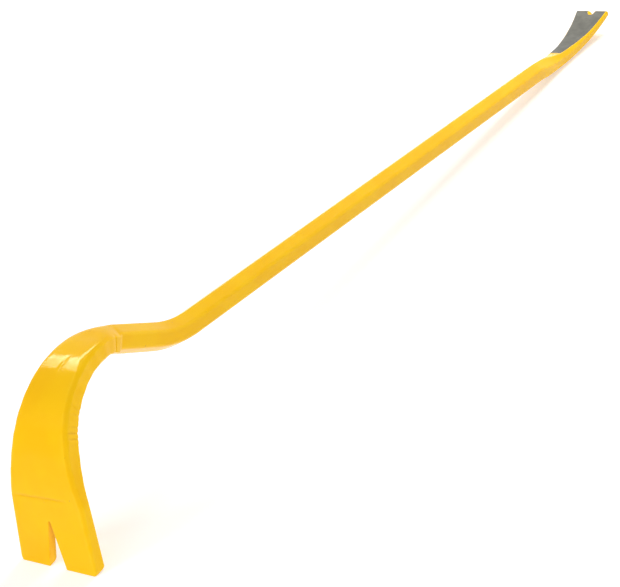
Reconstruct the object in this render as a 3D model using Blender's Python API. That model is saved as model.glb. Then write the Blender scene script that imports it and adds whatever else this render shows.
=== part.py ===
"""A gooseneck wrecking bar: a hexagonal steel shank with a forged claw welded to its bent
neck and a flat chisel blade welded to its straight end. Metres, +Z up, +X towards the blade.

The bar is drawn along one line in its plane of symmetry (Y = 0). Every piece is a loft: an
eight-cornered outline carried along its stretch of that line. The whole bar then stands the
way it stands on a floor, on the claw's two tips and the blade's heel.
"""

import math

import bpy
import bmesh
import numpy as np

# Hexagonal bar: flats on the two sides, a corner on top and one below
HEX_FLATS = 0.018
HEX_CORNER_FLAT = 0.0007
SHANK_RUN = 0.584
NECK_RADIUS = 0.1045
NECK_TURN = 22.6
NECK_RUN = 0.047

# Claw: two bends, then a straight wedge with the nail slot
HOOK_RADIUS = 0.0576
HOOK_TURN = 89.5
CLAW_RADIUS = 0.113
CLAW_TURN = 22.2
CLAW_RUN = 0.0484
SOCKET_WIDTH = 0.0200
SHOULDER_WIDTH = 0.0302
HOOK_WIDTH = 0.0340
BEND_WIDTH = 0.0444
CREASE_WIDTH = 0.0602
CLAW_WIDTH = 0.0628
TIP_WIDTH = 0.0612
SHOULDER_THICKNESS = 0.0144
BEND_THICKNESS = 0.0155
CREASE_THICKNESS = 0.0102
TIP_THICKNESS = 0.0078
TIP_BEVEL_RUN = 0.0030
TIP_BEVEL_RISE = 0.0020
CLAW_EDGE = 0.0026
CLAW_TIP_EDGE = 0.0010
NAIL_SLOT_LENGTH = 0.0345
NAIL_SLOT_MOUTH = 0.0140
NAIL_SLOT_END = 0.0016
SLOT_BEVEL = 0.0032

# The claw's shoulder: its cheeks sit lower than the bar's sides, under a ridged crown
SHOULDER_RUN = 0.024
CHEEK_TOP = 0.0032
CHEEK_FOOT = 0.0076
SOCKET_FOOT = 0.0088

# Chisel blade: the hexagon flattens, fans out and turns up, and a wheel grinds its top
FLATTEN_RUN = 0.063
BLADE_RADIUS = 0.185
BLADE_TURN = 24.3
BLADE_RUN = 0.010
ROOT_WIDTH = 0.0200
BLADE_WIDTH = 0.0332
BLADE_SIDE = 0.0030
BLADE_TIP_RISE = 0.0006
BLADE_CROWN = 0.0050
WHEEL_RADIUS = 0.172
WHEEL_START = 0.0365
WHEEL_STEP = 2.0
NOTCH_LENGTH = 0.0062
NOTCH_MOUTH = 0.0063
NOTCH_END = 0.0010

# Welds: a V-shaped bead, ground flush, between two bevelled ends
WELD_DEPTH = 0.0024
WELD_ROOT = 0.0006
CLEARANCE = 0.0003

CORNER_SOFTNESS = 0.0011
BEND_STEP = 2.5
CUTTER_MARGIN = 0.010

YELLOW_PAINT = (0.93, 0.60, 0.012)
PAINTED_WELD = (0.90, 0.56, 0.012)
GROUND_STEEL = (0.23, 0.23, 0.20)

HEX_SIDE_HALF = HEX_FLATS / math.sqrt(3.0) / 2.0
HEX_CORNER_HALF = HEX_FLATS / math.sqrt(3.0) - HEX_CORNER_FLAT / math.sqrt(3.0)


def clear_scene():
    for old in list(bpy.data.objects):
        bpy.data.objects.remove(old, do_unlink=True)


def finish(name, colour, metallic, roughness):
    """A Principled material with one colour, for one piece."""
    material = bpy.data.materials.new(name)
    material.use_nodes = True
    shader = material.node_tree.nodes["Principled BSDF"]
    shader.inputs["Base Color"].default_value = (*colour, 1.0)
    shader.inputs["Metallic"].default_value = metallic
    shader.inputs["Roughness"].default_value = roughness
    return material


class Line:
    """A line in the plane of symmetry, made of straight runs and bends.

    A station is a place (x, z), a heading in radians and the distance from the start.
    """

    def __init__(self, place, heading, distance=0.0):
        self.places = [np.array(place, float)]
        self.headings = [heading]
        self.distances = [distance]

    def run(self, length, steps=1):
        """Straight on, with a station at the end of each step."""
        ahead = np.array([math.cos(self.headings[-1]), math.sin(self.headings[-1])])
        for _ in range(steps):
            self.places.append(self.places[-1] + ahead * length / steps)
            self.headings.append(self.headings[-1])
            self.distances.append(self.distances[-1] + length / steps)
        return self

    def bend(self, radius, turn):
        """Round an arc of the radius through turn degrees, left if turn is positive."""
        steps = max(2, round(abs(turn) / BEND_STEP))
        part = math.radians(turn) / steps
        chord = 2.0 * radius * math.sin(abs(part) / 2.0)
        for _ in range(steps):
            middle = self.headings[-1] + part / 2.0
            ahead = np.array([math.cos(middle), math.sin(middle)])
            self.places.append(self.places[-1] + ahead * chord)
            self.headings.append(self.headings[-1] + part)
            self.distances.append(self.distances[-1] + radius * abs(part))
        return self

    def at(self, distance):
        """Place and heading at a distance from the start, between the stations."""
        x = np.interp(distance, self.distances, [p[0] for p in self.places])
        z = np.interp(distance, self.distances, [p[1] for p in self.places])
        return np.array([x, z]), float(np.interp(distance, self.distances, self.headings))

    @property
    def length(self):
        return self.distances[-1]


def upper_side(heading, side):
    """The unit vector square to the heading, on the bar's upper or outer side."""
    return side * np.array([-math.sin(heading), math.cos(heading)])


def smooth(distance, knots, values):
    """A curve through the values at the knots, with no corner and no overshoot."""
    knots = np.array(knots)
    values = np.array(values)
    step = np.diff(knots)
    slope = np.diff(values) / step
    tangent = np.zeros(len(knots))
    same_way = slope[:-1] * slope[1:] > 0
    joined = 2.0 * slope[:-1] * slope[1:] / np.where(same_way, slope[:-1] + slope[1:], 1.0)
    tangent[1:-1] = np.where(same_way, joined, 0.0)
    tangent[0] = slope[0]
    tangent[-1] = slope[-1]
    i = int(np.clip(np.searchsorted(knots, distance) - 1, 0, len(step) - 1))
    t = np.clip((distance - knots[i]) / step[i], 0.0, 1.0)
    rise = t * t * (3.0 - 2.0 * t)
    bow_in = t * (1.0 - t) ** 2 * step[i] * tangent[i]
    bow_out = t * t * (1.0 - t) * step[i] * tangent[i + 1]
    return values[i] * (1.0 - rise) + values[i + 1] * rise + bow_in - bow_out


def outline(half_width, side_top, top_half, top, side_low, low_half, low):
    """The eight corners of a section as (across, up), anticlockwise from the upper right.

    The sides stand at half_width from side_low up to side_top. The top is a flat of
    top_half each way at the height top, and the underside is a flat of low_half at -low.
    """
    corners = np.array(
        [
            (top_half, top),
            (-top_half, top),
            (-half_width, side_top),
            (-half_width, -side_low),
            (-low_half, -low),
            (low_half, -low),
            (half_width, -side_low),
            (half_width, side_top),
        ]
    )
    return soften(corners)


def soften(corners):
    """Each corner made three points of a small curve, which reaches at most 0.4 of an edge."""
    before = np.roll(corners, 1, axis=0) - corners
    after = np.roll(corners, -1, axis=0) - corners
    rounded = []
    for corner, back, on in zip(corners, before, after):
        first = corner + back * min(0.4, CORNER_SOFTNESS / np.linalg.norm(back))
        last = corner + on * min(0.4, CORNER_SOFTNESS / np.linalg.norm(on))
        rounded += [first, (first + 2.0 * corner + last) / 4.0, last]
    return np.array(rounded)


def hexagon():
    """The section of the bar: sides on the left and right, a blunt corner above and below."""
    half = HEX_CORNER_FLAT / 2.0
    width = HEX_FLATS / 2.0
    return outline(width, HEX_SIDE_HALF, half, HEX_CORNER_HALF, HEX_SIDE_HALF, half, HEX_CORNER_HALF)


def narrowed(section, depth):
    """The section drawn in, so that its sides lie depth further in."""
    half_width = section[:, 0].max()
    return section * (half_width - depth) / half_width


def ring_points(section, place, heading, side, lean=0.0):
    """A section's points in space. With lean, its underside lies back along the line."""
    up = upper_side(heading, side)
    ahead = np.array([math.cos(heading), math.sin(heading)])
    top = section[:, 1].max()
    share = (top - section[:, 1]) / (top - section[:, 1].min())
    flat = place + section[:, 1:] * up - share[:, None] * lean * ahead
    return np.column_stack([flat[:, 0], section[:, 0], flat[:, 1]])


def skin(name, rings, material, closed=False):
    """One closed solid over the rings. Its two ends are capped, or joined to each other."""
    shape = bmesh.new()
    loops = [[shape.verts.new(point) for point in ring] for ring in rings]
    pairs = list(zip(loops, loops[1:]))
    if closed:
        pairs.append((loops[-1], loops[0]))
    else:
        shape.faces.new(loops[0])
        shape.faces.new(loops[-1])
    for one, other in pairs:
        for i in range(len(one)):
            j = (i + 1) % len(one)
            shape.faces.new((one[i], one[j], other[j], other[i]))
    bmesh.ops.recalc_face_normals(shape, faces=shape.faces)
    mesh = bpy.data.meshes.new(name)
    shape.to_mesh(mesh)
    shape.free()
    mesh.materials.append(material)
    mesh.shade_smooth()
    mesh.set_sharp_from_angle(angle=math.radians(35.0))
    piece = bpy.data.objects.new(name, mesh)
    bpy.context.scene.collection.objects.link(piece)
    return piece


def shank_line():
    """From the blade's joint back along the shank, up through the neck, to the claw's joint."""
    line = Line((SHANK_RUN, 0.0), math.pi)
    return line.run(SHANK_RUN, 8).bend(NECK_RADIUS, -NECK_TURN).run(NECK_RUN)


def claw_line():
    """On from the neck, round the hook and down to the claw's tips."""
    neck = shank_line()
    line = Line(neck.places[-1], neck.headings[-1])
    line.bend(HOOK_RADIUS, HOOK_TURN).bend(CLAW_RADIUS, CLAW_TURN)
    return line.run(CLAW_RUN - TIP_BEVEL_RUN).run(TIP_BEVEL_RUN)


def blade_line():
    """From the shank's straight end out to the blade's edge, turning up."""
    line = Line((SHANK_RUN, 0.0), 0.0)
    return line.run(FLATTEN_RUN, 14).bend(BLADE_RADIUS, BLADE_TURN).run(BLADE_RUN, 3)


def claw_section(distance):
    """The claw's outline at a distance from its joint."""
    hook_end = HOOK_RADIUS * math.radians(HOOK_TURN)
    crease = hook_end + CLAW_RADIUS * math.radians(CLAW_TURN)
    tip = crease + CLAW_RUN
    bevel = tip - TIP_BEVEL_RUN
    if distance <= crease:
        knots = (0.0, SHOULDER_RUN, hook_end / 2.0, hook_end, crease)
        widths = (SOCKET_WIDTH, SHOULDER_WIDTH, HOOK_WIDTH, BEND_WIDTH, CREASE_WIDTH)
        half_width = smooth(distance, knots, widths) / 2.0
    else:
        widths = (CREASE_WIDTH, CLAW_WIDTH, TIP_WIDTH)
        half_width = np.interp(distance, (crease, bevel, tip), widths) / 2.0
    knots = (0.0, SHOULDER_RUN, hook_end, crease)
    plate = (SHOULDER_THICKNESS, SHOULDER_THICKNESS, BEND_THICKNESS, CREASE_THICKNESS)
    top = smooth(min(distance, crease), knots, plate) / 2.0
    low = top
    edge = np.interp(distance, (crease, tip), (CLAW_EDGE, CLAW_TIP_EDGE))
    if distance > bevel:
        low = np.interp(distance, (bevel, tip), (top, TIP_THICKNESS - top))
    flat = half_width - edge
    shoulder = smooth(distance, (0.0, SHOULDER_RUN, tip), (1.0, 0.0, 0.0))
    corners = np.array([top, top - edge, low, low - edge, flat, flat])
    crown = (HEX_CORNER_HALF, CHEEK_TOP, SOCKET_FOOT, CHEEK_FOOT, HEX_CORNER_FLAT / 2.0, SOCKET_WIDTH / 4.0)
    top, side, low, side_low, flat, low_flat = corners + shoulder * (np.array(crown) - corners)
    return outline(half_width, side, flat, top, side_low, low_flat, low)


def blade_section(distance):
    """The blade's outline at a distance from its joint, before its top is ground."""
    bend = FLATTEN_RUN
    tip = bend + BLADE_RADIUS * math.radians(BLADE_TURN) + BLADE_RUN
    knots = (0.0, bend / 2.0, bend, tip)
    half_width = smooth(distance, knots, (HEX_FLATS, HEX_FLATS, ROOT_WIDTH, BLADE_WIDTH)) / 2.0
    share = smooth(distance, knots, (0.0, 0.0, 0.25, 1.0))
    top = HEX_CORNER_HALF + share * (BLADE_CROWN - HEX_CORNER_HALF)
    side = HEX_SIDE_HALF * (1.0 - share)
    low = HEX_CORNER_HALF + share * (BLADE_SIDE - HEX_CORNER_HALF)
    side_low = HEX_SIDE_HALF + share * (BLADE_SIDE * 0.8 - HEX_SIDE_HALF)
    low_half = HEX_CORNER_FLAT / 2.0 + share * (half_width - BLADE_SIDE - HEX_CORNER_FLAT / 2.0)
    return outline(half_width, side, HEX_CORNER_FLAT / 2.0, top, side_low, low_half, low)


class End:
    """One end of a piece at a welded joint: the line that starts or stops there, the side of
    it that is the bar's upper side, and the outline."""

    def __init__(self, line, starts, side, section):
        self.line = line
        self.starts = starts
        self.side = side
        self.section = section

    def ring(self, step, inset):
        """The outline drawn in by inset, at a distance of step from the joint."""
        distance = step if self.starts else self.line.length - step
        place, heading = self.line.at(distance)
        return ring_points(narrowed(self.section, inset), place, heading, self.side)


def lofted(line, side, section_at, first_weld, last_weld, lean=0.0):
    """Rings along a line. A welded end is bevelled and stops half the clearance short."""
    gap = CLEARANCE / 2.0
    start = gap + WELD_DEPTH if first_weld else 0.0
    stop = line.length - (gap + WELD_DEPTH if last_weld else 0.0)
    inner = [d for d in line.distances if start + CLEARANCE < d < stop - CLEARANCE]
    rings = []
    if first_weld:
        rings.append(End(line, True, side, section_at(start)).ring(gap, WELD_DEPTH))
    for distance in [start, *inner, stop]:
        place, heading = line.at(distance)
        back = lean if distance == stop and not last_weld else 0.0
        rings.append(ring_points(section_at(distance), place, heading, side, back))
    if last_weld:
        rings.append(End(line, False, side, section_at(stop)).ring(gap, WELD_DEPTH))
    return rings


def make_shank(material):
    rings = lofted(shank_line(), -1.0, lambda distance: hexagon(), True, True)
    return skin("hex_shank", rings, material)


def make_claw(material):
    """The claw, with a nail slot whose edges are bevelled on the inner face."""
    line = claw_line()
    claw = skin("claw_head", lofted(line, -1.0, claw_section, True, False, TIP_BEVEL_RISE), material)
    slot = (NAIL_SLOT_LENGTH, NAIL_SLOT_MOUTH, NAIL_SLOT_END)
    cut(claw, v_cutter("nail_slot", material, line, -1.0, *slot, CREASE_THICKNESS / 2.0, SLOT_BEVEL))
    return claw


def wheel_centre():
    """The grinding wheel's centre. The wheel meets the bar's ridge where the ground face
    starts, and passes BLADE_TIP_RISE above the middle of the blade's edge."""
    start = np.array([SHANK_RUN + WHEEL_START, HEX_CORNER_HALF])
    line = blade_line()
    end = line.places[-1] + BLADE_TIP_RISE * upper_side(line.headings[-1], 1.0)
    chord = end - start
    across = np.array([-chord[1], chord[0]]) / np.linalg.norm(chord)
    return (start + end) / 2.0 + across * math.sqrt(WHEEL_RADIUS**2 - chord @ chord / 4.0)


def make_blade(paint, steel):
    """The blade is painted, except for the bare steel that the wheel leaves on its top."""
    rings = lofted(blade_line(), 1.0, blade_section, True, False)
    blade = skin("chisel_blade", rings, paint)
    blade.data.materials.append(steel)
    centre = wheel_centre()
    turns = [math.radians(angle) for angle in np.arange(0.0, 360.0, WHEEL_STEP)]
    rings = []
    for across in (-BLADE_WIDTH, BLADE_WIDTH):
        spots = [centre + WHEEL_RADIUS * np.array([math.cos(a), math.sin(a)]) for a in turns]
        rings.append([(spot[0], across, spot[1]) for spot in spots])
    cut(blade, skin("grinding_wheel", rings, steel))
    notch = (NOTCH_LENGTH, NOTCH_MOUTH, NOTCH_END)
    cut(blade, v_cutter("edge_notch", paint, blade_line(), 1.0, *notch))
    return blade


def make_weld(name, near, far, material):
    """A bead that fills the V between two bevelled ends, flush with both outlines."""
    reach = CLEARANCE / 2.0 + WELD_DEPTH - CLEARANCE * math.sqrt(2.0)
    depth = WELD_DEPTH - WELD_ROOT
    root = reach - depth
    rings = [near.ring(reach, 0.0), far.ring(reach, 0.0), far.ring(root, depth), near.ring(root, depth)]
    return skin(name, rings, material, closed=True)


def v_cutter(name, material, line, side, length, mouth, end, underside=0.0, bevel=0.0):
    """A wedge through the tip: end wide and round inside, mouth wide at the line's end.

    With bevel, the wedge opens at 45 degrees over the last bevel before the underside.
    """
    flare = (mouth - end) / 2.0 / length
    past = CUTTER_MARGIN
    tip, heading = line.at(line.length)
    ahead = np.array([math.cos(heading), math.sin(heading)])
    up = upper_side(heading, side)
    round_end = [math.radians(angle) for angle in range(90, 271, 30)]
    steps = [(CUTTER_MARGIN, 0.0), (-CUTTER_MARGIN, 0.0)]
    if bevel:
        steps = [(CUTTER_MARGIN, 0.0), (bevel - underside, 0.0), (-underside - past, bevel + past)]
    rings = []
    for height, wider in steps:
        radius = end / 2.0 + wider
        half = mouth / 2.0 + flare * past + wider
        inner = end / 2.0 - length
        plan = [(inner + radius * math.cos(a), radius * math.sin(a)) for a in round_end]
        plan += [(past, -half), (past, half)]
        ring = []
        for along, across in plan:
            spot = tip + along * ahead + height * up
            ring.append((spot[0], across, spot[1]))
        rings.append(ring)
    return skin(name, rings, material)


def cut(piece, cutter):
    """Takes the cutter's volume out of the piece. The cut faces get the cutter's material."""
    cutter.hide_render = True
    cutter.display_type = "WIRE"
    boolean = piece.modifiers.new(cutter.name, "BOOLEAN")
    boolean.operation = "DIFFERENCE"
    boolean.solver = "EXACT"
    boolean.object = cutter
    boolean.material_mode = "TRANSFER"


def stand(pieces):
    """Hangs every piece on one empty, turned and lifted so that the tips and the heel touch."""
    solids = [piece for piece in pieces if not piece.hide_render]
    points = np.array([tuple(v.co) for piece in solids for v in piece.data.vertices])
    tip = points[np.argmin(points[:, 2])]
    ahead = points[points[:, 0] > 0.0]
    slope = np.min((ahead[:, 2] - tip[2]) / (ahead[:, 0] - tip[0]))
    pitch = math.atan(slope)
    turned_x = points[:, 0] * math.cos(pitch) + points[:, 2] * math.sin(pitch)
    turned_z = points[:, 2] * math.cos(pitch) - points[:, 0] * math.sin(pitch)
    stance = bpy.data.objects.new("stance", None)
    bpy.context.scene.collection.objects.link(stance)
    stance.rotation_euler = (0.0, pitch, 0.0)
    stance.location = (-(turned_x.min() + turned_x.max()) / 2.0, 0.0, -turned_z.min())
    for piece in pieces:
        piece.parent = stance


def main():
    clear_scene()
    paint = finish("shank_paint", YELLOW_PAINT, 0.0, 0.35)
    claw_paint = finish("claw_paint", YELLOW_PAINT, 0.0, 0.32)
    blade_paint = finish("blade_paint", YELLOW_PAINT, 0.0, 0.35)
    ground_steel = finish("ground_steel", GROUND_STEEL, 0.9, 0.45)
    weld_paint = finish("weld_paint", PAINTED_WELD, 0.0, 0.4)
    make_shank(paint)
    make_claw(claw_paint)
    make_blade(blade_paint, ground_steel)
    start = CLEARANCE / 2.0 + WELD_DEPTH
    claw_end = End(claw_line(), True, -1.0, claw_section(start))
    blade_end = End(blade_line(), True, 1.0, blade_section(start))
    make_weld("neck_weld", End(shank_line(), False, -1.0, hexagon()), claw_end, weld_paint)
    make_weld("blade_weld", End(shank_line(), True, -1.0, hexagon()), blade_end, weld_paint)
    stand(list(bpy.context.scene.collection.objects))


main()
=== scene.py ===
"""The looks of a gooseneck wrecking bar: glossy yellow paint over forged and drawn steel, with
one bare face ground on the chisel blade. Metres, +Z up, +X towards the blade.

Every piece is a section carried along a line in the bar's plane of symmetry. A section has
eight corners, each drawn as a small curve. A point of a piece is worked out from its distance
along the line, its place across the bar and its height above the line.
"""

import math

import bmesh
import bpy
import numpy as np
from mathutils import Matrix


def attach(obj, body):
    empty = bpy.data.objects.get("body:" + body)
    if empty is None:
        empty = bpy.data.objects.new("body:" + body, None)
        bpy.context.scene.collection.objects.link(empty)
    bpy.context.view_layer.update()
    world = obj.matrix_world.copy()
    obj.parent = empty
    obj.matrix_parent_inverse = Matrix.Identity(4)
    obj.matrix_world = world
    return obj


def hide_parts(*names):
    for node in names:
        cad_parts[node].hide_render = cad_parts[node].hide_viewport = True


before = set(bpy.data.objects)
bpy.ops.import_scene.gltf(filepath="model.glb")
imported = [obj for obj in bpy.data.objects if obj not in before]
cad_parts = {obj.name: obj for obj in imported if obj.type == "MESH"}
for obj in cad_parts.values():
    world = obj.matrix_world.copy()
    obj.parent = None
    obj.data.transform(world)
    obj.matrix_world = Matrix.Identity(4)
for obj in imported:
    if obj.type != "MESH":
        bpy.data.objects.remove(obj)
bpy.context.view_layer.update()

# Hexagonal bar
HEX_FLATS = 0.018
HEX_CORNER_FLAT = 0.0007
SHANK_RUN = 0.584
NECK_RADIUS = 0.1045
NECK_TURN = math.radians(22.6)
NECK_RUN = 0.047
SHANK_STATIONS = 260

# Claw
HOOK_RADIUS = 0.0576
HOOK_TURN = math.radians(89.5)
CLAW_RADIUS = 0.113
CLAW_TURN = math.radians(22.2)
CLAW_RUN = 0.0484
SHOULDER_RUN = 0.024
# Widths at the joint, at the shoulder, half round the hook, at its end and at the crease
CLAW_WIDTHS = (0.0200, 0.0302, 0.0340, 0.0444, 0.0602)
# Widths at the crease, where the tips begin to thin and at the tips
CLAW_FOOT_WIDTHS = (0.0602, 0.0628, 0.0612)
# Thickness at the joint, at the shoulder, at the end of the hook and at the crease
CLAW_PLATE = (0.0144, 0.0144, 0.0155, 0.0102)
CLAW_TIP_PLATE = 0.0078
CLAW_TIP_LEAN = 0.0020
# Bevel of the long edges at the crease and at the tips
CLAW_EDGES = (0.0026, 0.0010)
# At the joint: top of the cheek, foot of the section, foot of the cheek, half of the flat below
CLAW_CROWN = (0.0032, 0.0088, 0.0076, 0.0050)
# The crown's rise past the joint, and its middle and half length
CROWN_LIFT = 0.0010
CROWN_SPOT = (0.012, 0.007)
# Length, mouth and inner end of the nail slot
SLOT = (0.0345, 0.0140, 0.0016)
SLOT_BEVEL = 0.0032
# How far before the tips the rings begin to spread, and how many rings lie before that
CLAW_FAN = CLAW_RUN - 0.006
CLAW_STATIONS = 270

# Blade
FLATTEN_RUN = 0.063
BLADE_RADIUS = 0.185
BLADE_TURN = math.radians(24.3)
BLADE_RUN = 0.010
# The blade's section: its measures at distances from the joint
BLADE_KNOTS = (0.0, 0.020, 0.038, 0.052, 0.070, 0.090, 0.110, 0.130, 0.1514613)
BLADE_HALF_WIDTH = (0.0090, 0.00895, 0.0088, 0.0091, 0.0099, 0.0112, 0.0128, 0.0148, 0.0172)
BLADE_TOP = (0.0100, 0.0090, 0.0067, 0.0054, 0.0056, 0.0052, 0.0040, 0.0028, 0.0014)
BLADE_TOP_HALF = (0.00035, 0.0006, 0.0031, 0.0061, 0.0070, 0.0090, 0.0112, 0.0134, 0.0160)
BLADE_SIDE_TOP = (0.0052, 0.0028, 0.0012, 0.0011, 0.0025, 0.0033, 0.0030, 0.0015, 0.0003)
BLADE_SIDE_LOW = (0.0052, 0.0063, 0.0061, 0.0054, 0.0040, 0.0030, 0.0028, 0.0031, 0.0036)
BLADE_LOW = (0.0100, 0.00997, 0.0098, 0.0090, 0.00784, 0.0067, 0.0055, 0.0045, 0.0038)
BLADE_LOW_HALF = (0.00035, 0.0006, 0.0024, 0.0044, 0.0055, 0.0069, 0.0095, 0.0126, 0.0157)
GROUND_START = 0.052
# Length, mouth and inner end of the nail notch
NOTCH = (0.0038, 0.0022, 0.0008)
NOTCH_BEVEL = 0.0026
BLADE_FAN = 0.012
BLADE_STATIONS = 180

# Forging marks: depths into the steel, spots as middle and half, waves in radians a metre
CREASE_DEPTH = 0.0004
# How far the crease lies before the straight foot, how it slants, and half its breadth
CREASE_BACK = 0.0027
CREASE_SLANT = 0.05
CREASE_HALF = 0.0008
DENT_DEPTH = 0.0002
DENT_ACROSS = (-0.0008, 0.0014)
DENT_ALONG = (0.049, 0.006)
WRINKLE_DEPTH = 0.0006
WRINKLE_WAVE = (1610.0, 90.0)
WRINKLE_SPOTS = ((0.088, 0.006), (0.073, 0.005))
HAMMER_DEPTH = 0.0005
HAMMER_WAVES = ((210.0, 160.0), (333.0, -240.0))
# Where the hammer waves come in and run out
HAMMER_KNOTS = (0.0, 0.02, 0.1, 0.13)
SEAM_DEPTH = 0.0005
SEAM_SPOT = (0.0080, 0.0006)
# Where the crease comes in and runs out and where the cheek begins, as shares of half the width
CREASE_ENDS = (-0.65, -0.3, 0.6, 0.88)
CHEEK_EDGES = (0.8, 0.97)
# Where the outer face begins and the wrinkles run out, as shares of the height of the face
OUTER_LEVELS = (0.9, 1.0)
WRINKLE_LEVELS = (0.3, 0.98)
# How much painted shade a wrinkle takes, against 1 for the crease and for the weld's end
WRINKLE_SHADE = 0.7

# How far a corner's curve reaches along the faces beside it, and at most, as a share of a face
HEX_REACH = 0.0020
CROWN_REACH = 0.0060
CROWN_KNOTS = (0.0, 0.010, 0.028, 0.050)
CORNER_REACH = 0.0007
MOST_REACH = 0.45
# How far from an edge nearness to it falls to about a third, and the radius of the tips' edges
EDGE_FADE = 0.0012
EDGE_ROUND = 0.0005
# How far before the tips the claw thins and the closing strips take their heights
TIP_RUN = 0.0030
# Faces that meet at more than this angle show an edge
SHARP_ANGLE = math.radians(50.0)
# Points closer than the first are merged, and edges shorter than the second dissolved
MERGE_GAP = 2e-6
SLIVER = 1e-7

# Joints, and how the bar stands on the floor
WELD_HALF = 0.0024
WELD_STATIONS = 13
STANCE_PITCH = math.radians(6.04407)
STANCE_SHIFT = (-0.2743118, 0.0765588)

# Paint, floor and room
PAINT_YELLOW = (0.98, 0.56, 0.003)
PAINT_SHEEN = (1.0, 0.85, 0.45, 1.0)
# How high the orange peel stands on the bar and on the claw, and the wheel's lines
BAR_PEEL = 0.0001
CLAW_PEEL = 0.0003
LINE_HEIGHT = 0.00003
FLOOR_RADIUS = 8.0
FLOOR_SIDES = 96
# The floor's glow where it is seen, what it gains further out, and over which distances
FLOOR_GLOW = 0.45
FAR_GLOW = 0.3
FAR_RUN = (0.6, 1.8)
# The glow of the floor and of the room that lights the bar
FLOOR_LIGHT = 0.2
ROOM_LIGHT = 0.4
# Lamps: name, place, target, size, watts, and whether gloss alone sees it
LAMPS = (
    ("top_box", (1.36, 0.0, 1.25), (0.4, 0.0, 0.1), (0.8, 0.8), 26.0, False),
    ("front_box", (-1.8, 1.04, 1.25), (0.0, 0.0, 0.05), (1.0, 1.0), 21.5, False),
    ("near_box", (-1.14, -1.29, 0.26), (-0.4, 0.0, 0.05), (0.5, 0.4), 6.6, False),
    ("patch_box", (-0.07, 0.933, 1.237), (-0.4, 0.0, 0.11), (0.29, 0.26), 2.6, True),
    ("streak_box", (0.343, 0.618, 1.227), (-0.4, 0.0, 0.11), (0.9, 0.22), 11.5, True),
)

HEX_SIDE_HALF = HEX_FLATS / math.sqrt(3.0) / 2.0
HEX_CORNER_HALF = (HEX_FLATS - HEX_CORNER_FLAT) / math.sqrt(3.0)
HOOK_LENGTH = HOOK_RADIUS * HOOK_TURN
CREASE = HOOK_LENGTH + CLAW_RADIUS * CLAW_TURN
CLAW_LENGTH = CREASE + CLAW_RUN
BLADE_LENGTH = FLATTEN_RUN + BLADE_RADIUS * BLADE_TURN + BLADE_RUN
SHANK_LENGTH = SHANK_RUN + NECK_RADIUS * NECK_TURN + NECK_RUN

# How many points go round corners, cuts and faces, and how many rings spread to a free end
ARC_STEPS = 6
CUT_STEPS = (7, 14, 14)
FAN_STEPS = 60
WIDE_STEPS = 2 * sum(CUT_STEPS)
FACE_STEPS = (WIDE_STEPS, 6, 12, 4, WIDE_STEPS, 4, 12, 6)


class Line:
    """A line in the plane y = 0 made of legs, each with a length and a turn (0 is straight)."""

    def __init__(self, place, heading, legs, side):
        self.side = side
        self.starts = [(0.0, np.array(place, float), heading)]
        self.turns = []
        for length, turn in legs:
            distance, start, facing = self.starts[-1]
            end, onward = self.leg_end(start, facing, turn / length, np.array(length))
            self.turns.append(turn / length)
            self.starts.append((distance + length, end, float(onward)))

    @staticmethod
    def leg_end(start, heading, curve, gone):
        """Place and heading after going a distance on a leg: a straight step if curve is 0,
        else round a circle of radius 1 / curve, from the sines of the two headings."""
        onward = heading + curve * gone
        if curve == 0.0:
            ahead = np.array([math.cos(heading), math.sin(heading)])
            return start + gone[..., None] * ahead, onward
        across = np.stack([np.sin(onward), -np.cos(onward)], -1)
        first = np.array([math.sin(heading), -math.cos(heading)])
        return start + (across - first) / curve, onward

    def at(self, distance):
        """Place and heading at each of an array of distances."""
        place = np.zeros(distance.shape + (2,))
        heading = np.zeros(distance.shape)
        for number, curve in enumerate(self.turns):
            begun, start, facing = self.starts[number]
            spots, onward = self.leg_end(start, facing, curve, distance - begun)
            here = distance >= begun if number else np.ones(distance.shape, bool)
            place[here] = spots[here]
            heading[here] = onward[here]
        return place, heading

    def points(self, distance, across, height):
        """World points: the place at the distance, moved by the height square to the heading,
        then turned and lifted to the way the bar stands."""
        place, heading = self.at(distance)
        up = self.side * np.stack([-np.sin(heading), np.cos(heading)], -1)
        flat = place + height[..., None] * up
        cosine, sine = math.cos(STANCE_PITCH), math.sin(STANCE_PITCH)
        x = flat[..., 0] * cosine + flat[..., 1] * sine + STANCE_SHIFT[0]
        z = flat[..., 1] * cosine - flat[..., 0] * sine + STANCE_SHIFT[1]
        return np.stack([x, across, z], -1)


SHANK_LEGS = [(SHANK_RUN, 0.0), (NECK_RADIUS * NECK_TURN, -NECK_TURN), (NECK_RUN, 0.0)]
SHANK = Line((SHANK_RUN, 0.0), math.pi, SHANK_LEGS, -1.0)
CLAW_LEGS = [(HOOK_LENGTH, HOOK_TURN), (CREASE - HOOK_LENGTH, CLAW_TURN), (CLAW_RUN, 0.0)]
CLAW = Line(SHANK.starts[-1][1], SHANK.starts[-1][2], CLAW_LEGS, -1.0)
BLADE_LEGS = [(FLATTEN_RUN, 0.0), (BLADE_RADIUS * BLADE_TURN, BLADE_TURN), (BLADE_RUN, 0.0)]
BLADE = Line((SHANK_RUN, 0.0), 0.0, BLADE_LEGS, 1.0)


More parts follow.
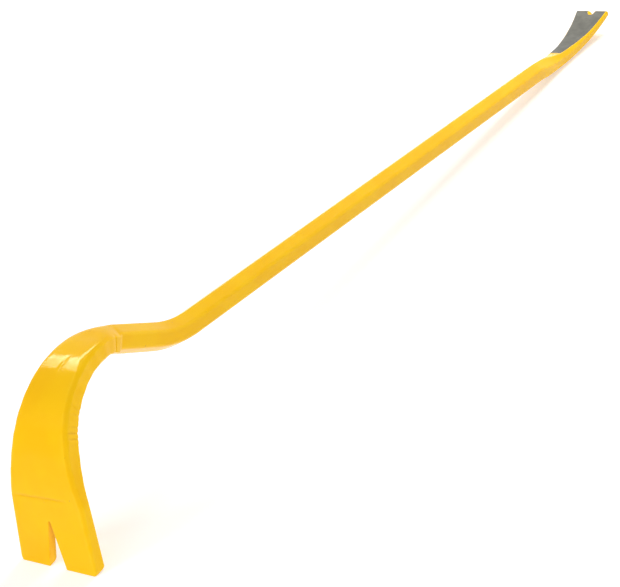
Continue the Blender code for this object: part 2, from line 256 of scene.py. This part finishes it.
def smooth(distance, knots, values):
    """A cubic through the values at the knots, with no corner and no overshoot."""
    knots = np.array(knots)
    values = np.array(values)
    step = np.diff(knots)
    slope = np.diff(values) / step
    tangent = np.zeros(len(knots))
    same_way = slope[:-1] * slope[1:] > 0
    joined = 2.0 * slope[:-1] * slope[1:] / np.where(same_way, slope[:-1] + slope[1:], 1.0)
    tangent[1:-1] = np.where(same_way, joined, 0.0)
    tangent[0] = slope[0]
    tangent[-1] = slope[-1]
    i = np.clip(np.searchsorted(knots, distance) - 1, 0, len(step) - 1)
    t = np.clip((distance - knots[i]) / step[i], 0.0, 1.0)
    rise = t * t * (3.0 - 2.0 * t)
    bow_in = t * (1.0 - t) ** 2 * step[i] * tangent[i]
    bow_out = t * t * (1.0 - t) * step[i] * tangent[i + 1]
    return values[i] * (1.0 - rise) + values[i + 1] * rise + bow_in - bow_out


def bell(distance, middle, half):
    """1 at the middle, falling smoothly as e^-x^2, where x is the distance off in halves."""
    return np.exp(-(((distance - middle) / half) ** 2))


def corners(half_width, side_top, top_half, top, side_low, low_half, low):
    """The eight corners of a section as (across, height), anticlockwise from the upper right."""
    values = np.broadcast_arrays(half_width, side_top, top_half, top, side_low, low_half, low)
    half_width, side_top, top_half, top, side_low, low_half, low = values
    right = (top_half, low_half, half_width, half_width)
    across = np.stack([right[0], -right[0], -right[2], -right[3], -right[1], *right[1:]], -1)
    height = np.stack([top, top, side_top, -side_low, -low, -low, -side_low, side_top], -1)
    return np.stack([across, height], -1)


def hexagon(distance):
    """The bar: an upright flat on each side and a blunt corner above and below."""
    half = np.full(distance.shape, HEX_CORNER_FLAT / 2.0)
    side = HEX_SIDE_HALF
    eight = corners(HEX_FLATS / 2.0, side, half, HEX_CORNER_HALF, side, half, HEX_CORNER_HALF)
    return eight, np.full(eight.shape[:-1], HEX_REACH)


def claw_section(distance):
    """The claw: a soft crown over low cheeks at the joint, which becomes a wide bevelled
    plate, thinned over the last few millimetres before the tips."""
    bevel = CLAW_LENGTH - TIP_RUN
    early = np.minimum(distance, CREASE)
    upper = smooth(early, (0.0, SHOULDER_RUN, HOOK_LENGTH / 2.0, HOOK_LENGTH, CREASE), CLAW_WIDTHS)
    lower = np.interp(distance, (CREASE, bevel, CLAW_LENGTH), CLAW_FOOT_WIDTHS)
    past = np.clip(distance - (CLAW_LENGTH - 2.0 * EDGE_ROUND), 0.0, 2.0 * EDGE_ROUND)
    turned = 2.0 * EDGE_ROUND - np.sqrt(4.0 * EDGE_ROUND**2 - past**2)
    half_width = np.where(distance <= CREASE, upper, lower) / 2.0 - turned
    top = smooth(early, (0.0, SHOULDER_RUN, HOOK_LENGTH, CREASE), CLAW_PLATE) / 2.0
    thinned = np.clip((distance - bevel) / TIP_RUN, 0.0, 1.0)
    low = top - (2.0 * top - CLAW_TIP_PLATE) * thinned
    edge = np.interp(distance, (CREASE, CLAW_LENGTH), CLAW_EDGES)
    flat = half_width - edge
    shoulder = smooth(distance, (0.0, SHOULDER_RUN, CLAW_LENGTH), (1.0, 0.0, 0.0))
    cheek_top, socket_foot, cheek_foot, low_flat = CLAW_CROWN

    def mixed(plain, crowned):
        return plain + shoulder * (crowned - plain)

    eight = corners(
        half_width,
        mixed(top - edge, cheek_top),
        mixed(flat, HEX_CORNER_FLAT / 2.0),
        mixed(top, HEX_CORNER_HALF) + CROWN_LIFT * bell(distance, *CROWN_SPOT),
        mixed(low - edge, cheek_foot),
        mixed(flat, low_flat),
        mixed(low, socket_foot),
    )
    reach = np.full(eight.shape[:-1], CORNER_REACH)
    reaches = (HEX_REACH, CROWN_REACH, CROWN_REACH, CORNER_REACH)
    reach[..., :2] = smooth(distance, CROWN_KNOTS, reaches)[..., None]
    return eight, reach


def blade_section(distance):
    """The blade: the hexagon's ridge is hammered flat and spreads, the sides draw out, and
    from GROUND_START on the flat top is the face that the wheel has ground. Each measure is
    a smooth curve through its values at the knots."""
    past = np.clip(distance - (BLADE_LENGTH - EDGE_ROUND), 0.0, EDGE_ROUND)
    turned = EDGE_ROUND - np.sqrt(EDGE_ROUND**2 - past**2)
    measures = (
        BLADE_HALF_WIDTH,
        BLADE_SIDE_TOP,
        BLADE_TOP_HALF,
        BLADE_TOP,
        BLADE_SIDE_LOW,
        BLADE_LOW_HALF,
        BLADE_LOW,
    )
    values = [smooth(distance, BLADE_KNOTS, measure) for measure in measures]
    # The three measures across draw in at the rounded tip
    for across in (0, 2, 5):
        values[across] = values[across] - turned
    eight = corners(*values)
    knots = (0.0, GROUND_START, BLADE_LENGTH)
    reach = smooth(distance, knots, (HEX_REACH, CORNER_REACH, CORNER_REACH))
    return eight, np.broadcast_to(reach[..., None], eight.shape[:-1])


def claw_marks(distance, across, height):
    """What forging left on the claw, all of it pressed into the steel: a crease across the
    face where the foot was set straight, wrinkles where the inside of the bend was squeezed,
    slow hammer waves and the end of the weld on the cheeks, and a shallow lengthwise dent on
    the bend. Also gives the shade painted into the crease, the wrinkles and the weld's end,
    0 to 1."""
    half_width = np.max(np.abs(across), -1, keepdims=True)
    level = height / np.max(height, -1, keepdims=True)
    outer = smooth(level, OUTER_LEVELS, (0.0, 1.0))
    reached = smooth(across / half_width, CREASE_ENDS, (0.0, 1.0, 1.0, 0.0))
    crease = bell(distance, CREASE - CREASE_BACK + CREASE_SLANT * across, CREASE_HALF)
    crease = crease * outer * reached
    dent = DENT_DEPTH * bell(across, *DENT_ACROSS) * bell(distance, *DENT_ALONG) * outer
    cheek = smooth(np.abs(across) / half_width, CHEEK_EDGES, (0.0, 1.0))
    folds = (0.5 + 0.5 * np.sin(distance * WRINKLE_WAVE[0] + height * WRINKLE_WAVE[1])) ** 3
    deep, faint = [bell(distance, *spot) for spot in WRINKLE_SPOTS]
    folds = folds * (deep + 0.5 * faint)
    folds = folds * smooth(level, WRINKLE_LEVELS, (1.0, 0.0))
    weld_end = bell(distance, *SEAM_SPOT)
    slow, quick = [np.sin(distance * along + height * up) for along, up in HAMMER_WAVES]
    hammered = 0.5 + 0.5 * (slow * quick)
    hammered = hammered * smooth(distance, HAMMER_KNOTS, (0.0, 1.0, 1.0, 0.0))
    inward = WRINKLE_DEPTH * folds + HAMMER_DEPTH * hammered + SEAM_DEPTH * weld_end
    # Painted shade for the marks: the crease, and on the cheeks the wrinkles and the weld's end
    mark_shade = crease + cheek * (WRINKLE_SHADE * folds + weld_end)
    across = across - np.sign(across) * cheek * inward
    return across, height - CREASE_DEPTH * crease - dent, mark_shade


def unmarked(distance, across, height):
    """No marks and no painted shade."""
    return across, height, 0.0


def ring_plan():
    """For each point round a section: its corner, whether it lies on the face after that
    corner, and how far along the corner's curve or the face it is. Face points crowd
    towards the corners, so that a face stays flat to its edge."""
    which, on_face, share = [], [], []
    for corner, steps in enumerate(FACE_STEPS):
        curve = np.linspace(0.0, 1.0, ARC_STEPS)
        face = 0.5 - 0.5 * np.cos(np.pi * np.arange(1, steps) / steps)
        which.append(np.full(ARC_STEPS + steps - 1, corner))
        on_face.append(np.repeat([False, True], [ARC_STEPS, steps - 1]))
        share.append(np.concatenate([curve, face]))
    return np.concatenate(which), np.concatenate(on_face), np.concatenate(share)


WHICH, ON_FACE, SHARE = ring_plan()
RING = len(WHICH)
OUTER_FACE = np.arange(ARC_STEPS - 1, ARC_STEPS + FACE_STEPS[0])
INNER_FACE = OUTER_FACE + int(np.argmax(WHICH == 4))
LEFT_SIDE = np.arange(OUTER_FACE[-1], INNER_FACE[0] + 1)
RIGHT_SIDE = (OUTER_FACE[0] + OUTER_FACE[-1] - LEFT_SIDE) % RING


def section_points(section, distance, share=SHARE, ring=slice(None)):
    """Across, height and nearness to an edge of the ring's points, each at its own distance.
    Near a corner a point lies on the curve (1-t)^2 first + 2t(1-t) corner + t^2 last, where
    first and last lie on the two edges, a reach away from the corner or MOST_REACH of the
    edge if that is less. Between corners it lies straight between last and the next first."""
    eight, reach = section(distance)
    back = np.roll(eight, 1, -2) - eight
    on = np.roll(eight, -1, -2) - eight
    first, last = [
        eight + way * np.minimum(MOST_REACH, reach / np.linalg.norm(way, axis=-1))[..., None]
        for way in (back, on)
    ]
    which = WHICH[ring]
    row = np.arange(len(which))
    before, corner, after = [points[..., row, which, :] for points in (first, eight, last)]
    following = first[..., row, (which + 1) % 8, :]
    t = np.broadcast_to(share, before.shape[:-1])[..., None]
    curve = (1.0 - t) ** 2 * before + 2.0 * t * (1.0 - t) * corner + t * t * after
    straight = after + (following - after) * t
    flat = np.where(ON_FACE[ring][:, None], straight, curve)
    off = np.min(np.linalg.norm(flat[..., None, :] - eight, axis=-1), -1)
    return flat[..., 0], flat[..., 1], np.exp(-off / EDGE_FADE)


def rings(line, section, distances, marks=unmarked):
    """Whole sections square to the line, one for each distance, with each point's nearness to
    an edge less the shade painted into the marks there."""
    far = np.broadcast_to(distances[:, None], (len(distances), RING))
    across, height, edge = section_points(section, far)
    across, height, mark_shade = marks(far, across, height)
    return line.points(far, across, height), edge - mark_shade


def end_plan(length, mouth, end, wider, recess, half_width):
    """The plan of a free end with a V cut into it, from the right edge to the left, as
    distances before the tip and places across. From the middle outwards: a quarter circle
    round the cut's inner end, the cut's straight side, and the tip's edge. The cut is wider
    by one value at each height, and the tip lies back by another."""
    radius = end / 2.0 + wider
    inner = end / 2.0 - length
    slope = (mouth - end) / 2.0 / -inner
    turn = np.linspace(math.pi, math.pi / 2.0, CUT_STEPS[0] + 1)[:, None]
    steps = [np.linspace(0.0, np.pi, count + 1)[1:, None] for count in CUT_STEPS[1:]]
    wall, edge = [0.5 - 0.5 * np.cos(step) for step in steps]
    gone = wall * (-recess - inner)
    at_mouth = radius + slope * (-recess - inner)
    tip = at_mouth + edge * (half_width - at_mouth)
    along = np.concatenate([inner + radius * np.cos(turn), inner + gone, -recess + 0.0 * edge])
    across = np.concatenate([radius * np.sin(turn), radius + slope * gone, tip])
    return np.concatenate([along[:0:-1], along]).T, np.concatenate([across[:0:-1], -across]).T


def free_end(line, section, length, fan, cut, bevels, lean):
    """The last stretch of a claw or blade. Its rings start square at length - fan and spread
    so that the last one follows the tip and the cut, and a strip from the outer face's edge
    to the inner face's closes the end. The cut opens at 45 degrees over the first bevel below
    the outer face and over the second above the inner face. All edges are rounded."""

    def left_side(distance):
        return section_points(section, distance, SHARE[LEFT_SIDE], LEFT_SIDE)

    height = left_side(np.full(len(LEFT_SIDE), length - TIP_RUN))[1]
    down, up = height[0] - height, height - height[-1]
    short = [np.clip(EDGE_ROUND - gap, 0.0, EDGE_ROUND) for gap in (down, up)]
    under, over = [np.sqrt(EDGE_ROUND**2 - gap**2) for gap in short]
    opened = np.clip(bevels[0] - down, 0.0, None) + np.clip(bevels[1] - up, 0.0, None)
    recess = 2.0 * EDGE_ROUND - under - over
    wider = recess + opened
    recess = recess + lean * down / down[-1]
    along, across = end_plan(*cut, wider, recess, -left_side(length - recess)[0])
    far = length + along
    strip_height = left_side(far.T)[1].T
    strip = line.points(far, across, strip_height)

    end_distance = np.zeros(RING)
    end_distance[LEFT_SIDE] = end_distance[RIGHT_SIDE] = length - recess
    end_distance[OUTER_FACE] = far[0]
    end_distance[INNER_FACE] = far[-1, ::-1]
    end_share = SHARE.copy()
    for face, row in ((OUTER_FACE, across[0]), (INNER_FACE, -across[-1, ::-1])):
        corner = section(end_distance[face])[0][:, WHICH[face[0]], 0]
        end_share[face] = (1.0 - row / (np.abs(corner) - CORNER_REACH)) / 2.0
    end_share = np.where(ON_FACE, end_share, SHARE)
    gone = 1.0 - (1.0 - np.linspace(0.0, 1.0, FAN_STEPS)[:, None]) ** 2
    distance = length - fan + gone * (end_distance - (length - fan))
    shares = SHARE + gone * (end_share - SHARE)
    skin_across, skin_height, edge = section_points(section, distance, shares)
    skin = line.points(distance, skin_across, skin_height)
    return (skin, edge), (strip, np.ones(strip.shape[:2]))


def finished(name, grids, materials, node):
    """A mesh from grids of points. A grid is its points with their nearness to an edge,
    whether each row closes on itself, and the material of its faces. Points that meet are
    merged, open ends are filled, and the piece takes its place on the frame in the stead of
    a node."""
    vertices, faces, kinds, edges, first = [], [], [], [], 0
    for (points, edge), closed, kind in grids:
        rows, columns = points.shape[:2]
        number = first + np.arange(rows * columns).reshape(rows, columns)
        if closed:
            number = np.concatenate([number, number[:, :1]], 1)
        quads = np.stack([number[:-1, :-1], number[:-1, 1:], number[1:, 1:], number[1:, :-1]], -1)
        faces.append(quads.reshape(-1, 4))
        kinds.append(np.broadcast_to(kind, quads.shape[:2]).ravel())
        vertices.append(points.reshape(-1, 3))
        edges.append(edge.ravel())
        first += rows * columns
    mesh = bpy.data.meshes.new(name)
    mesh.from_pydata(np.concatenate(vertices), [], np.concatenate(faces))
    mesh.polygons.foreach_set("material_index", np.concatenate(kinds).astype(np.int32))
    nearness = mesh.attributes.new("edge", "FLOAT", "POINT")
    nearness.data.foreach_set("value", np.concatenate(edges).astype(np.float32))
    shape = bmesh.new()
    shape.from_mesh(mesh)
    bmesh.ops.remove_doubles(shape, verts=shape.verts, dist=MERGE_GAP)
    bmesh.ops.dissolve_degenerate(shape, edges=shape.edges, dist=SLIVER)
    bmesh.ops.holes_fill(shape, edges=[e for e in shape.edges if e.is_boundary])
    bmesh.ops.recalc_face_normals(shape, faces=shape.faces)
    shape.to_mesh(mesh)
    shape.free()
    mesh.shade_smooth()
    mesh.set_sharp_from_angle(angle=SHARP_ANGLE)
    for material in materials:
        mesh.materials.append(material)
    piece = bpy.data.objects.new(name, mesh)
    bpy.context.scene.collection.objects.link(piece)
    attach(piece, "root")
    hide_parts(node)


class Value:
    """A socket that takes part in sums. Each operator adds one Math node to its finish."""

    def __init__(self, finish, socket):
        self.finish = finish
        self.socket = socket

    def maths(self, operation, first, second):
        """Adds a Math node for two numbers or sockets."""
        return self.finish.node("ShaderNodeMath", {"operation": operation}, {0: first, 1: second})

    def __add__(self, other):
        return self.maths("ADD", self, other)

    def __mul__(self, other):
        return self.maths("MULTIPLY", self, other)

    def __sub__(self, other):
        return self.maths("SUBTRACT", self, other)

    def __rsub__(self, other):
        return self.maths("SUBTRACT", other, self)

    __radd__ = __add__
    __rmul__ = __mul__


class Finish:
    """A material or the world in the making, round the one shader that it starts with."""

    def __init__(self, owner, **plain):
        owner.use_nodes = True
        self.tree = owner.node_tree
        self.shader = next(node for node in self.tree.nodes if node.outputs)
        for socket, value in plain.items():
            self.shader.inputs[socket.replace("_", " ")].default_value = value

    def node(self, kind, settings, sockets, output=0):
        """Adds a node: its settings, then its sockets' values or links. Gives one output."""
        node = self.tree.nodes.new(kind)
        for name, value in settings.items():
            setattr(node, name, value)
        for name, value in sockets.items():
            self.feed(node.inputs[name], value)
        return Value(self, node.outputs[output])

    def feed(self, socket, value):
        """Links a socket to a Value, or sets it."""
        if isinstance(value, Value):
            self.tree.links.new(value.socket, socket)
        else:
            socket.default_value = value

    def place(self):
        """Object coordinates, in metres."""
        return self.node("ShaderNodeTexCoord", {}, {}, 3)

    def edge(self):
        """Nearness to an edge of the piece, 1 on the edge, or down to -1 where shade is painted
        into a mark.
        """
        return self.node("ShaderNodeAttribute", {"attribute_name": "edge"}, {}, 2)

    def noise(self, place, scale, detail, roughness):
        """Soft noise from 0 to 1, with about as many lumps a metre as its scale."""
        sockets = {"Vector": place, "Scale": scale, "Detail": detail, "Roughness": roughness}
        return self.node("ShaderNodeTexNoise", {}, sockets)

    def mix(self, factor, first, second):
        """The first colour where the factor is 0, the second where it is 1."""
        sockets = {"Factor": factor, 6: first, 7: second}
        return self.node("ShaderNodeMix", {"data_type": "RGBA"}, sockets, 2)

    def band(self, value, low, high):
        """0 below low, 1 above high, and smooth between them."""
        sockets = {"Value": value, "From Min": low, "From Max": high}
        return self.node("ShaderNodeMapRange", {"interpolation_type": "SMOOTHSTEP"}, sockets)

    def shown(self):
        """1 for a ray that shows the background: the camera's, a mirrored or a passed one."""
        rays = ("Is Camera Ray", "Is Glossy Ray", "Is Transmission Ray")
        return sum(self.node("ShaderNodeLightPath", {}, {}, ray) for ray in rays)

    def bump(self, height, depth):
        """The way that the surface would face if it rose by depth times the height."""
        return self.node("ShaderNodeBump", {}, {"Height": height, "Distance": depth})


def yellow_paint(name, peel_depth):
    """Gloss enamel over forged steel: faint orange peel, slow changes of tone where the coat is
    thick or thin, a paler line along the edges that is partly paint drawn thin there and partly
    a painted highlight, painted shade in the claw's crease, wrinkles and weld end, and sparse
    dull specks."""
    material = bpy.data.materials.new(name)
    finish = Finish(material, Specular_IOR_Level=0.15, Specular_Tint=PAINT_SHEEN)
    place = finish.place()
    red, green, blue = PAINT_YELLOW
    thick = (red, green, blue, 1.0)
    thin = (red * 0.98, green * 0.93, blue * 0.9, 1.0)
    # Paler yellow along the edges: partly paint drawn thin there, partly a painted highlight
    pale = (1.0, green * 1.12, 0.03, 1.0)
    # Darker yellow: painted shade in the claw's crease, wrinkles and weld end
    deep = (red * 0.72, green * 0.6, 0.003, 1.0)
    dull = (red * 0.72, green * 0.66, 0.012, 1.0)
    slow = finish.noise(place, 26.0, 3.0, 0.55)
    patchy = finish.noise(place, 75.0, 4.0, 0.6)
    tone = finish.mix(finish.band(slow, 0.38, 0.64), thin, thick)
    edge = finish.edge()
    # Painted highlight along the edges, partly paint drawn thin: paler yellow near every edge and
    # on the tips' end strips
    tone = finish.mix(edge * finish.band(patchy, 0.3, 0.6) * 0.55, tone, pale)
    # Painted shade: darker yellow where the edge nearness falls below 0, in the claw's marks
    tone = finish.mix(-0.4 * edge, tone, deep)
    specks = finish.band(finish.noise(place, 420.0, 2.0, 0.5), 0.735, 0.78)
    tone = finish.mix(specks * 0.8, tone, dull)
    finish.feed(finish.shader.inputs["Base Color"], tone)
    finish.feed(finish.shader.inputs["Roughness"], 0.07 + 0.1 * patchy + 0.25 * specks)
    peel = finish.noise(place, 700.0, 2.0, 0.5)
    swell = finish.noise(place, 95.0, 2.0, 0.5)
    height = swell + peel * 0.06 - specks * 0.04
    finish.feed(finish.shader.inputs["Normal"], finish.bump(height, peel_depth))
    return material


def ground_steel(name):
    """Bare steel off the wheel: fine lines across the blade, soft grey blotches."""
    material = bpy.data.materials.new(name)
    finish = Finish(material, Metallic=0.75)
    place = finish.place()
    across = finish.node("ShaderNodeMapping", {}, {"Vector": place, "Scale": (9.0, 1.0, 9.0)})
    lines = finish.noise(across, 260.0, 3.0, 0.6)
    blotch = finish.noise(place, 90.0, 4.0, 0.6)
    dark, pale = (0.133, 0.13, 0.11, 1.0), (0.21, 0.205, 0.176, 1.0)
    tone = finish.mix(finish.band(blotch * 0.7 + lines * 0.3, 0.3, 0.7), dark, pale)
    finish.feed(finish.shader.inputs["Base Color"], tone)
    finish.feed(finish.shader.inputs["Roughness"], 0.34 + 0.25 * lines)
    finish.feed(finish.shader.inputs["Normal"], finish.bump(lines, LINE_HEIGHT))
    return material


def make_shank(paint):
    """The hexagonal bar with the bend of the neck. Gives its rings of points."""
    stations = np.linspace(WELD_HALF, SHANK_LENGTH - WELD_HALF, SHANK_STATIONS)
    skin = rings(SHANK, hexagon, stations)
    finished("painted_shank", [(skin, True, 0)], [paint], "hex_shank")
    return skin[0]


def make_claw(paint):
    """The claw with its marks and its slotted foot. Gives the rings before the foot."""
    stations = np.linspace(WELD_HALF, CLAW_LENGTH - CLAW_FAN, CLAW_STATIONS)
    skin = rings(CLAW, claw_section, stations, claw_marks)
    cut = SLOT, (0.0, SLOT_BEVEL), CLAW_TIP_LEAN
    end, strip = free_end(CLAW, claw_section, CLAW_LENGTH, CLAW_FAN, *cut)
    grids = [(skin, True, 0), (end, True, 0), (strip, False, 0)]
    finished("forged_claw", grids, [paint], "claw_head")
    return skin[0]


def make_blade(paint, steel):
    """The blade, bare from the far corner to the near edge of its ground face. Gives the
    rings before the notched end."""
    stations = np.linspace(WELD_HALF, BLADE_LENGTH - BLADE_FAN, BLADE_STATIONS)
    skin = rings(BLADE, blade_section, stations)
    cut = NOTCH, (NOTCH_BEVEL, 0.0), 0.0
    end, strip = free_end(BLADE, blade_section, BLADE_LENGTH, BLADE_FAN, *cut)
    bare = np.arange(RING) < OUTER_FACE[-1]
    begun = (stations > GROUND_START)[:-1, None]
    grids = [(skin, True, bare & begun), (end, True, bare), (strip, False, 0)]
    finished("dressed_blade", grids, [paint, steel], "chisel_blade")
    return skin[0]


def make_bead(name, near, far, paint, node):
    """A weld dressed flush between two pieces, each given as its last two rings with the one
    at the joint first. The skin is the cubic that leaves one ring and meets the other in the
    pieces' own directions: (2t^3-3t^2+1) near + (t^3-2t^2+t) leaving + (3t^2-2t^3) far +
    (t^3-t^2) meeting."""
    t = np.linspace(0.0, 1.0, WELD_STATIONS)[:, None, None]
    run = np.mean(np.linalg.norm(far[0] - near[0], axis=-1))
    ways = near[0] - near[1], far[1] - far[0]
    leaving, meeting = [way * run / np.mean(np.linalg.norm(way, axis=-1)) for way in ways]
    skin = (2.0 * t**3 - 3.0 * t**2 + 1.0) * near[0] + (t**3 - 2.0 * t**2 + t) * leaving
    skin += (3.0 * t**2 - 2.0 * t**3) * far[0] + (t**3 - t**2) * meeting
    finished(name, [((skin, np.zeros(skin.shape[:2])), True, 0)], [paint], node)


def make_floor():
    """A floor that the camera and the gloss see as white, that keeps the bar's shadow and that
    lights the bar from below. Further out it glows more, where the lamps' light runs out."""
    mesh = bpy.data.meshes.new("floor")
    turn = np.linspace(0.0, 2.0 * math.pi, FLOOR_SIDES + 1)[:-1]
    rim = np.stack([FLOOR_RADIUS * np.cos(turn), FLOOR_RADIUS * np.sin(turn), 0.0 * turn], -1)
    mesh.from_pydata(rim, [], [list(range(FLOOR_SIDES))])
    material = bpy.data.materials.new("pale_floor")
    finish = Finish(
        material,
        Base_Color=(0.72, 0.72, 0.72, 1.0),
        Roughness=0.9,
        Specular_IOR_Level=0.1,
        Emission_Strength=1.0,
    )
    away = finish.node("ShaderNodeVectorMath", {"operation": "LENGTH"}, {0: finish.place()}, 1)
    lighting = finish.node("ShaderNodeLightPath", {}, {}, "Is Diffuse Ray")
    shown, far = finish.shown(), finish.band(away, *FAR_RUN)
    glow = shown * (FLOOR_GLOW + FAR_GLOW * far) + lighting * FLOOR_LIGHT
    finish.feed(finish.shader.inputs["Emission Color"], glow)
    mesh.materials.append(material)
    floor = bpy.data.objects.new("floor", mesh)
    bpy.context.scene.collection.objects.link(floor)


def make_lamp(name, place, target, size, power, mirrored):
    """A soft box that faces a target. Gloss alone sees the ones that are mirrored, and takes
    nothing from the rest."""
    lamp = bpy.data.lights.new(name, "AREA")
    lamp.shape = "RECTANGLE"
    lamp.size, lamp.size_y = size
    lamp.energy = power
    box = bpy.data.objects.new(name, lamp)
    box.visible_glossy = mirrored
    box.visible_diffuse = not mirrored
    back = np.array(place) - np.array(target)
    back /= np.linalg.norm(back)
    right = np.cross((0.0, 0.0, 1.0), back)
    right /= np.linalg.norm(right)
    columns = np.stack([right, np.cross(back, right), back, place], -1)
    box.matrix_world = Matrix([*columns.tolist(), [0.0, 0.0, 0.0, 1.0]])
    bpy.context.scene.collection.objects.link(box)


def make_studio():
    """Soft light from above the blade and from before the claw, and two boxes that only the
    gloss of the claw's bend mirrors, in a white room."""
    scene = bpy.context.scene
    scene.view_settings.view_transform = "Standard"
    scene.world = bpy.data.worlds.new("white_room")
    room = Finish(scene.world, Color=(1.0, 1.0, 1.0, 1.0))
    light = ROOM_LIGHT + (1.0 - ROOM_LIGHT) * room.shown()
    room.feed(room.shader.inputs["Strength"], light)
    for lamp in LAMPS:
        make_lamp(*lamp)


def make_camera():
    """The photograph's view, from the claw's end, above and to the bar's right."""
    camera = bpy.data.cameras.new("camera")
    camera.sensor_fit = "HORIZONTAL"
    camera.sensor_width = 36.0
    camera.lens = 97.746
    eye = bpy.data.objects.new("camera", camera)
    eye.matrix_world = Matrix(
        [
            [0.498090, 0.491057, -0.714682, -1.063125],
            [-0.847624, 0.101910, -0.520719, -0.682693],
            [-0.182869, 0.865146, 0.466992, 0.628747],
            [0.0, 0.0, 0.0, 1.0],
        ]
    )
    bpy.context.scene.collection.objects.link(eye)
    bpy.context.scene.camera = eye


paint = yellow_paint("bar_enamel", BAR_PEEL)
shank = make_shank(paint)
claw = make_claw(yellow_paint("claw_enamel", CLAW_PEEL))
blade = make_blade(paint, ground_steel("bare_steel"))
make_bead("neck_bead", shank[:-3:-1], claw[:2], paint, "neck_weld")
make_bead("blade_bead", shank[:2], blade[:2], paint, "blade_weld")
make_floor()
make_studio()
make_camera()
